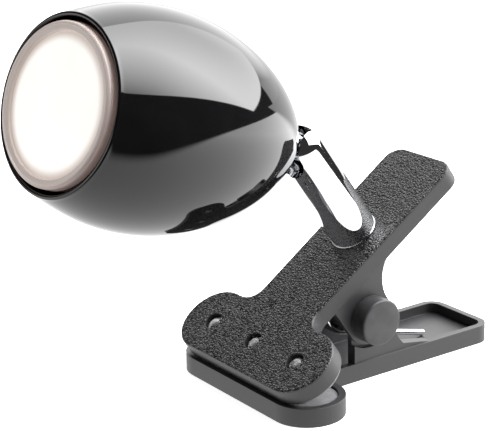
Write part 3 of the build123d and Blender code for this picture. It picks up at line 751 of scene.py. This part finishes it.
class LAMP_OT_stage(bpy.types.Operator):
    """Make the floor, the studio's light and the camera"""

    bl_idname = "reading_lamp.stage"
    bl_label = "Stage"

    def execute(self, context):
        settings = context.scene.lamp_stage
        context.scene.view_settings.view_transform = "Standard"
        self.floor(settings)
        self.studio(context.scene, settings)
        self.camera(context.scene, settings)
        return {"FINISHED"}

    def floor(self, settings):
        """A plain pale floor: evenly bright to the camera, and in reflections a painted pool of light,
        brighter towards +x, with a painted dark zone outside it.
        """
        mesh = bmesh.new()
        bmesh.ops.create_grid(mesh, x_segments=8, y_segments=8, size=settings.floor_size)
        made = bpy.data.meshes.new("floor")
        mesh.to_mesh(made)
        mesh.free()
        floor = bpy.data.objects.new("floor", made)
        floor.location.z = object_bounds()[0].z - 0.0002
        bpy.context.scene.collection.objects.link(floor)
        floor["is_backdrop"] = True
        material = bpy.data.materials.new("Pale floor")
        material.use_nodes = True
        tree = material.node_tree
        tree.nodes.clear()
        point = node(tree, "NewGeometry").outputs["Position"]
        axes = node(tree, "SeparateXYZ", {0: point}).outputs
        # For rays other than the camera's, the floor glows with a painted pool of light that brightens
        # towards +x and behind the lamp. Outside a disc round (0.45, 0.45) and away from the back, it is a
        # painted dark zone.
        away = node(tree, "VectorMath", {0: point, 1: (0.45, 0.45, 0)}, operation="DISTANCE").outputs["Value"]
        lit = spread(tree, away, 0.88, 0.82)
        behind = spread(tree, axes["Y"], 0.1, 0.2)
        lit = maths(tree, "MAXIMUM", lit, behind)
        level = spread(tree, axes["X"], -0.15, 0.35, 1.15, 3.6, smooth=False)
        level = blend(tree, behind, level, 1.5)
        glow = node(tree, "Emission", {"Color": tuple(settings.floor_colour),
                                       "Strength": blend(tree, lit, 0.04, level)})
        plain = node(tree, "BsdfDiffuse", {"Color": tuple(settings.floor_colour)})
        # To the camera the floor is evenly bright.
        even = node(tree, "Emission", {"Color": (1, 1, 1), "Strength": 0.92})
        seen = node(tree, "AddShader", {0: plain.outputs[0], 1: even.outputs[0]})
        ray = node(tree, "LightPath").outputs["Is Camera Ray"]
        both = node(tree, "MixShader", {0: ray, 1: glow.outputs[0], 2: seen.outputs[0]})
        node(tree, "OutputMaterial", {"Surface": both.outputs[0]})
        wear(floor, material)

    def studio(self, scene, settings):
        """A large softbox high on the right, a dark room behind the camera and a pale backdrop."""
        world = bpy.data.worlds.new("Studio")
        scene.world = world
        world.use_nodes = True
        tree = world.node_tree
        tree.nodes.clear()
        way = node(tree, "TexCoord").outputs["Generated"]
        corner_left, corner_low = bearing(8, 28), bearing(77, 0)
        corner_right, corner_high = bearing(117, 13), bearing(132, 58)
        heart = bearing(85, 35)
        box = None
        for first, second in ((corner_left, corner_low), (corner_low, corner_right),
                              (corner_right, corner_high), (corner_left, Vector((0, 0, 1)))):
            inside = spread(tree, dot(tree, way, edge_between(first, second, heart)), -0.008, 0.008)
            box = inside if box is None else maths(tree, "MULTIPLY", box, inside)
        high = settings.softbox
        softbox = spread(tree, dot(tree, way, heart), 0.4, 1.0, high * 0.05, high, smooth=False)
        softbox = maths(tree, "MULTIPLY", softbox,
                        spread(tree, dot(tree, way, bearing(117, 25)), 0.68, 0.98, 1.0, 0.42, smooth=False))
        right = spread(tree, dot(tree, way, bearing(188, 0)), -0.01, 0.02)
        backdrop = spread(tree, dot(tree, way, bearing(130, 35)), 0.74, 0.88, 0.04, 2.6)
        low = spread(tree, dot(tree, way, (0, 0, 1)), 0.24, 0.1, 0.0, 1.5)
        far = maths(tree, "MULTIPLY", right, maths(tree, "MAXIMUM", backdrop, low))
        room = maths(tree, "MAXIMUM", far, 0.035)
        level = blend(tree, box, room, softbox)
        lights = node(tree, "Background", {"Color": (1.0, 0.995, 1.0), "Strength": level})
        white = node(tree, "Background", {"Color": (1, 1, 1), "Strength": 1.0})
        ray = node(tree, "LightPath").outputs["Is Camera Ray"]
        both = node(tree, "MixShader", {0: ray, 1: lights.outputs[0], 2: white.outputs[0]})
        node(tree, "OutputWorld", {"Surface": both.outputs[0]})

    def camera(self, scene, settings):
        """The camera, which looks down at the lamp from its front left."""
        data = bpy.data.cameras.new("camera")
        data.sensor_width = 36.0
        data.lens = settings.lens
        data.clip_start, data.clip_end = 0.01, 100.0
        camera = bpy.data.objects.new("camera", data)
        scene.collection.objects.link(camera)
        a, e, turn = settings.azimuth, settings.elevation, settings.roll
        across = Vector((math.cos(a), math.sin(a), 0))
        up = Vector((-math.sin(a) * math.sin(e), math.cos(a) * math.sin(e), math.cos(e)))
        back = Vector((math.sin(a) * math.cos(e), -math.cos(a) * math.cos(e), math.sin(e)))
        right = across * math.cos(turn) + up * math.sin(turn)
        over = up * math.cos(turn) - across * math.sin(turn)
        place = Matrix((right, over, back)).transposed().to_4x4()
        place.translation = Vector(settings.camera_place)
        camera.matrix_world = place
        scene.camera = camera


# The shade's outside, as distances along the head's axis from the tilt pin and radii.
MOUTH = 99.9 * MM
MOUTH_RADIUS = 27.3 * MM
SHADE_OUTSIDE = [(h * MM, r * MM) for h, r in (
    (99.9, 27.3), (84.9, 32.6), (64.5, 34.7), (49.9, 32.6), (37.9, 28.7),
    (27.9, 23.8), (19.9, 18.4), (15.6, 14.6), (12.6, 10.2))]
NOSE = 11.7 * MM
NOSE_RADIUS = 8.6 * MM
NOSE_CORNER = (12.05 * MM, 9.25 * MM)
NECK_HOLE = 4.1 * MM


class LAMP_OT_shade(bpy.types.Operator):
    """Make the egg-shaped shade with its rolled mouth"""

    bl_idname = "reading_lamp.shade"
    bl_label = "Shade"

    def execute(self, context):
        settings = context.scene.lamp_shade
        outside, outward = fair_curve(SHADE_OUTSIDE, 150)
        inside = outside - outward * settings.wall
        half_wall = settings.wall / 2
        lip = arc((MOUTH, MOUTH_RADIUS - half_wall), half_wall, -84, 84, 14)
        nose_inside = NOSE + settings.wall
        profile = list(lip)
        profile += [tuple(p) for p in outside[1:]]
        profile += [NOSE_CORNER, (NOSE, NOSE_RADIUS), (NOSE, NECK_HOLE)]
        profile += [(nose_inside, NECK_HOLE), (nose_inside, NOSE_RADIUS - 0.3 * MM)]
        profile += [tuple(p) for p in inside[:0:-1]]
        mesh = turned_mesh("shade_shell", profile, settings.turns)
        made = piece("shade_shell", mesh, HEAD_PLACE, "head", ["shade"], sharp=40)
        wear(made, gloss_lacquer(settings))
        return {"FINISHED"}


# The reflector lamp's bezel and lens, along the head's axis in the same way.
LAMP_FRONT = 102.3 * MM
LENS_RADIUS = 21.4 * MM
LAMP_RADIUS = 24.4 * MM
LAMP_SIDE = 99.1 * MM


class LAMP_OT_lamp_front(bpy.types.Operator):
    """Make the reflector lamp's bezel and its lit lens"""

    bl_idname = "reading_lamp.lamp_front"
    bl_label = "Lamp front"

    def execute(self, context):
        settings = context.scene.lamp_front
        inner, outer, edge = LENS_RADIUS, LAMP_RADIUS, 1.1 * MM
        ring = [(LAMP_SIDE, inner), (LAMP_SIDE, outer)]
        ring += arc((LAMP_FRONT - edge, outer - edge), edge, 90, 0, 10)
        ring += [(LAMP_FRONT - 0.25 * MM, outer - edge - 0.15 * MM)]
        ring += arc((LAMP_FRONT - 1.0 * MM, inner + 0.7 * MM), 0.7 * MM, 0, -90, 8)
        bezel = turned_mesh("lamp_bezel_ring", ring, 160)
        made = piece("lamp_bezel_ring", bezel, HEAD_PLACE, "head", ["lamp_bezel"], sharp=35)
        wear(made, milky_bezel(settings))
        crown = 0.5 * MM
        front = LAMP_FRONT - 0.8 * MM
        steps = 18
        face = [(LAMP_SIDE, 0), (LAMP_SIDE, inner - 0.02 * MM)]
        face += [(front - crown - 0.4 * MM, inner - 0.02 * MM)]
        reach = inner - 0.3 * MM
        face += [(front - crown * (r / steps) ** 2, reach * r / steps) for r in range(steps, -1, -1)]
        lens = turned_mesh("lamp_lens_face", face, 160, closed=False)
        made = piece("lamp_lens_face", lens, HEAD_PLACE, "head", ["lamp_lens"], sharp=35)
        wear(made, lit_lens(settings))
        return {"FINISHED"}


class LAMP_OT_stem(bpy.types.Operator):
    """Make the slotted chrome stem"""

    bl_idname = "reading_lamp.stem"
    bl_label = "Stem"

    def execute(self, context):
        settings = context.scene.lamp_stem
        radius, wall, top, dome = settings.radius, settings.wall, settings.height, settings.dome
        foot, bead = 0.1 * MM, 0.2 * MM
        floor = 3.0 * MM
        outer = [(foot, 0)]
        outer += arc((foot + bead, radius), bead, 180, 0, 16)
        outer += [(h * MM, radius) for h in range(1, 40, 2)]
        outer += arc((top - dome, radius - dome), dome, 90, 0, 28)
        outer += [(top, 0)]
        inner = [(top - wall, 0)]
        inner += arc((top - dome, radius - dome), dome - wall, 0, 90, 20)
        inner += [(floor, radius - wall), (floor, 0)]
        profile = outer + inner
        mesh = turned_mesh("stem_tube", profile, 192, closed=False)
        cutter = slot_cutter("stem_slot", settings.slot_width, settings.slot_bottom, settings.slot_back,
                             top + 2 * MM, radius + 3 * MM)
        cut = turned_normals(cut_mesh("stem_tube", mesh, cutter), profile)
        made = piece("stem_tube", cut, STEM_PLACE, "stem", ["stem"], sharp=None)
        chrome = polished("Chrome", tuple(settings.colour), 0.03, 0.02)
        wear(made, chrome)
        wear(frame["nodes"]["tilt_pin"], polished("Pin steel", (0.5, 0.5, 0.51), 0.2, 0.1))
        return {"FINISHED"}


class LAMP_OT_neck(bpy.types.Operator):
    """Make the neck between the stem's slot and the shade"""

    bl_idname = "reading_lamp.neck"
    bl_label = "Neck"

    def execute(self, context):
        radius, collar, edge = 5.0 * MM, 6.6 * MM, 0.35 * MM
        collar_back, collar_front = 9.3 * MM, NOSE
        thread, end = 4.0 * MM, 20.5 * MM
        profile = arc((0, 0), radius, 180, 90, 24)
        profile += [(collar_back, radius)]
        profile += arc((collar_back + edge, collar - edge), edge, 180, 90, 6)
        profile += arc((collar_front - edge, collar - edge), edge, 90, 0, 6)
        profile += [(collar_front, thread), (end, thread), (end, 0)]
        mesh = turned_mesh("neck_knuckle", profile, 128, closed=False)
        cutter = bmesh.new()
        bmesh.ops.create_cube(cutter, size=1)
        gap_width, gap_length = 4.0 * MM, 12.0 * MM
        gap_back, gap_front = -6.0 * MM, 6.5 * MM
        for vertex in cutter.verts:
            vertex.co = Vector((vertex.co.x * gap_width, vertex.co.y * gap_length,
                                gap_back if vertex.co.z < 0 else gap_front))
        gap = bpy.data.meshes.new("neck_gap")
        cutter.to_mesh(gap)
        cutter.free()
        cut = turned_normals(cut_mesh("neck_knuckle", mesh, gap), profile)
        made = piece("neck_knuckle", cut, HEAD_PLACE, "head", ["neck"], sharp=None)
        wear(made, bpy.data.materials["Chrome"])
        return {"FINISHED"}


class LAMP_OT_jaws(bpy.types.Operator):
    """Finish the two moulded jaws"""

    bl_idname = "reading_lamp.jaws"
    bl_label = "Jaws"

    def execute(self, context):
        settings = context.scene.lamp_clamp
        wear(frame["nodes"]["upper_jaw"], jaw_plastic("Upper jaw plastic", settings, True))
        wear(frame["nodes"]["lower_jaw"], jaw_plastic("Lower jaw plastic", settings, False))
        return {"FINISHED"}


class LAMP_OT_pads(bpy.types.Operator):
    """Finish the clear silicone pads and their studs"""

    bl_idname = "reading_lamp.pads"
    bl_label = "Pads"

    def execute(self, context):
        silicone = clear_silicone()
        for name in ("upper_pad", "lower_pad"):
            wear(frame["nodes"][name], silicone)
        return {"FINISHED"}


class LAMP_OT_pivot(bpy.types.Operator):
    """Make the pivot caps and finish the pin and bush"""

    bl_idname = "reading_lamp.pivot"
    bl_label = "Pivot"

    def execute(self, context):
        settings = context.scene.lamp_clamp
        low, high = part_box("pivot_caps")
        plastic = moulded("Cap plastic", (0.03, 0.029, 0.031), 0.4, 0.5 * MM, 0.006 * MM)
        near, far = -low.y, high.y
        back = 15.1 * MM
        radius, edge, crown = settings.cap_radius, 0.8 * MM, 0.25 * MM
        steps = 12
        for name, side, reach in (("pivot_cap_left", -1, near), ("pivot_cap_right", 1, far)):
            height = reach - back
            profile = [(0, 0), (0, radius)]
            profile += arc((height - crown - edge, radius - edge), edge, 90, 12, 10)
            profile += [(height - crown * (r / steps) ** 2, (radius - edge) * r / steps)
                        for r in range(steps - 1, -1, -1)]
            mesh = turned_mesh(name, profile, 128, closed=False)
            place = placed(Vector((PIVOT.x, side * back, PIVOT.z)), Vector((0, side, 0)), Vector((1, 0, 0)))
            made = piece(name, mesh, place, "lower_jaw", sharp=50)
            wear(made, plastic)
        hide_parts("pivot_caps")
        wear(frame["nodes"]["pivot_pin"], polished("Zinc steel", (0.55, 0.55, 0.57), 0.25, 0.1))
        bush = moulded("Bush plastic", (0.03, 0.03, 0.031), 0.5, 0.5 * MM, 0.01 * MM)
        wear(frame["nodes"]["spring_bush"], bush)
        return {"FINISHED"}


class LAMP_OT_spring(bpy.types.Operator):
    """Finish the clamp's spring"""

    bl_idname = "reading_lamp.spring"
    bl_label = "Spring"

    def execute(self, context):
        steel = polished("Spring steel", (0.74, 0.75, 0.77), 0.08, 0.06)
        for name in ("clamp_spring", "clamp_spring_leg"):
            wear(frame["nodes"][name], steel)
        return {"FINISHED"}


class LAMP_OT_fixings(bpy.types.Operator):
    """Finish the washers, nuts, bracket, screws and the cord bush"""

    bl_idname = "reading_lamp.fixings"
    bl_label = "Fixings"

    def execute(self, context):
        zinc = bpy.data.materials["Zinc steel"]
        for name in ("stem_washer", "stem_nut", "neck_nut", "neck_washer", "holder_bracket", "holder_screws"):
            wear(frame["nodes"][name], zinc)
        rubber = moulded("Black rubber", (0.015, 0.015, 0.016), 0.6, 0.6 * MM, 0.02 * MM)
        wear(frame["nodes"]["cord_bush"], rubber)
        return {"FINISHED"}


class LAMP_OT_lamp_inside(bpy.types.Operator):
    """Finish the lampholder and the parts inside the lamp"""

    bl_idname = "reading_lamp.lamp_inside"
    bl_label = "Lamp inside"

    def execute(self, context):
        nodes = frame["nodes"]
        brass = polished("Contact brass", (0.78, 0.6, 0.3), 0.25, 0.1)
        wear(nodes["lampholder"], ceramic_white())
        wear(nodes["holder_contacts"], brass)
        wear(nodes["lamp_pins"], brass)
        wear(nodes["holder_leads"], moulded("Lead sleeve", (0.75, 0.74, 0.7), 0.6, 0.5 * MM, 0.03 * MM))
        white = moulded("Lamp plastic", (0.7, 0.69, 0.66), 0.4, 0.6 * MM, 0.01 * MM)
        wear(nodes["lamp_base"], white)
        wear(nodes["lamp_body"], moulded("Lamp body plastic", (0.32, 0.26, 0.23), 0.35, 0.6 * MM, 0.01 * MM))
        wear(nodes["led_board"], polished("Board aluminium", (0.85, 0.86, 0.87), 0.35, 0.1))
        wear(nodes["led_chips"], moulded("Phosphor", (0.85, 0.72, 0.2), 0.5, 0.3 * MM, 0.01 * MM))
        wear(nodes["driver_board"], moulded("Circuit board", (0.02, 0.16, 0.06), 0.35, 0.7 * MM, 0.01 * MM))
        wear(nodes["driver_capacitor"], polished("Capacitor can", (0.6, 0.62, 0.66), 0.3, 0.1))
        return {"FINISHED"}


class LAMP_PT_pieces(bpy.types.Panel):
    """Lists the lamp's pieces"""

    bl_idname = "LAMP_PT_pieces"
    bl_label = "Clip-on reading lamp"
    bl_space_type = "VIEW_3D"
    bl_region_type = "UI"
    bl_category = "Lamp"

    def draw(self, context):
        for operator in OPERATORS:
            self.layout.operator(operator.bl_idname)
        for name in SETTINGS:
            group = getattr(context.scene, name)
            box = self.layout.box()
            for key in group.__annotations__:
                box.prop(group, key)


OPERATORS = (
    LAMP_OT_stage,
    LAMP_OT_shade,
    LAMP_OT_lamp_front,
    LAMP_OT_stem,
    LAMP_OT_neck,
    LAMP_OT_jaws,
    LAMP_OT_pads,
    LAMP_OT_pivot,
    LAMP_OT_spring,
    LAMP_OT_fixings,
    LAMP_OT_lamp_inside,
)


def register():
    """Registers the settings, the operators and the panel."""
    for name, group in SETTINGS.items():
        bpy.utils.register_class(group)
        setattr(bpy.types.Scene, name, bpy.props.PointerProperty(type=group))
    for operator in OPERATORS:
        bpy.utils.register_class(operator)
    bpy.utils.register_class(LAMP_PT_pieces)


def unregister():
    """Takes the panel, the operators and the settings away again."""
    bpy.utils.unregister_class(LAMP_PT_pieces)
    for operator in reversed(OPERATORS):
        bpy.utils.unregister_class(operator)
    for name, group in SETTINGS.items():
        delattr(bpy.types.Scene, name)
        bpy.utils.unregister_class(group)


def main():
    """Builds every piece in order."""
    register()
    for operator in OPERATORS:
        group, action = operator.bl_idname.split(".")
        getattr(getattr(bpy.ops, group), action)()


if __name__ == "__main__":
    main()
